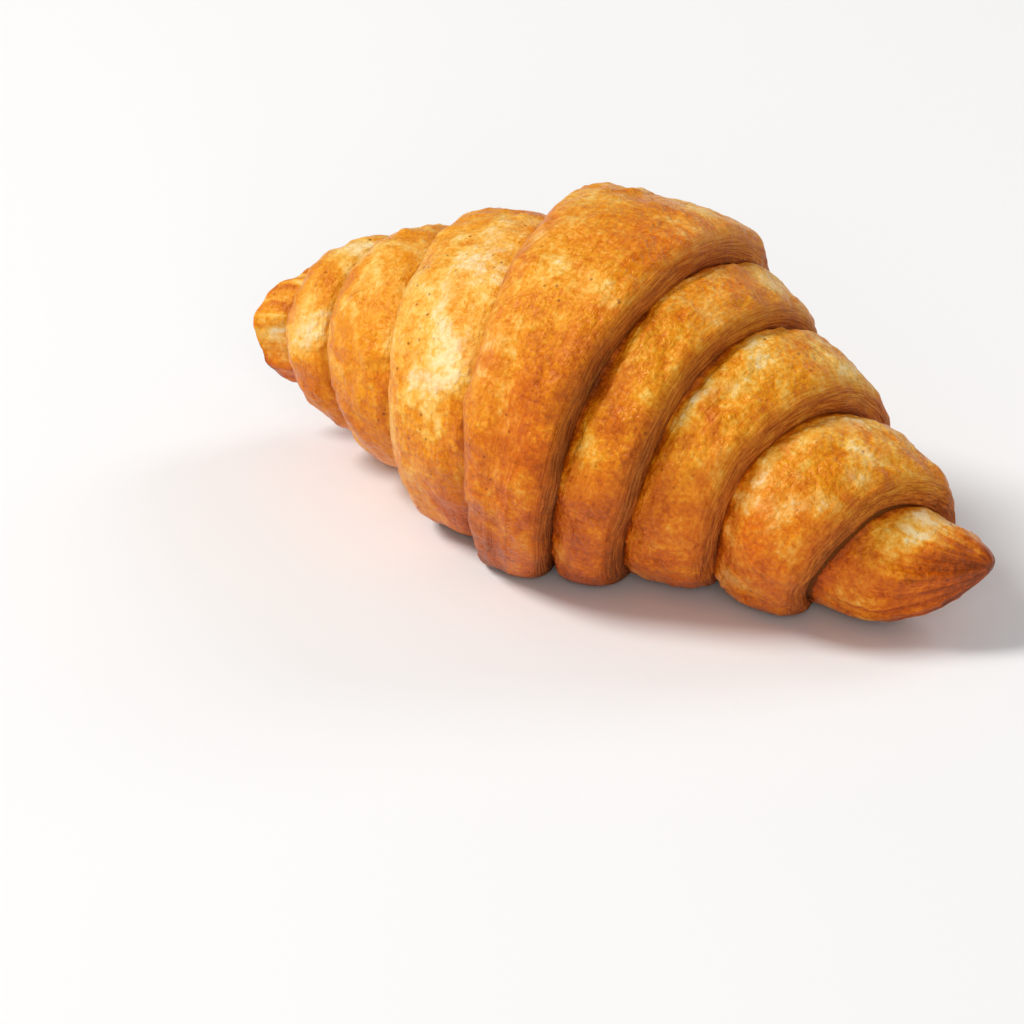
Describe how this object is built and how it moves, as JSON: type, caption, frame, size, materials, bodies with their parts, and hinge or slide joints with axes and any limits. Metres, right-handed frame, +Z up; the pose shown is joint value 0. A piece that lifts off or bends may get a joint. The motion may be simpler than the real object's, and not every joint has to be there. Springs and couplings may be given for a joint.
{
  "type": "croissant",
  "caption": "Baked croissant: a spindle of rolled pastry with stepped helical wraps, tapered noses and a flat underside to rest on.",
  "frame": {"origin": "centre of the bounding box on the plane the underside rests on", "axes": "+X along the roll towards the pointed nose, -Y towards the front, +Z up from the tray"},
  "size_m": [0.1582, 0.0766, 0.0651],
  "materials": {
    "crust": "satin, egg-washed"
  },
  "bodies": {
    "root": {"croissant": "crust"}
  },
  "joints": []
}
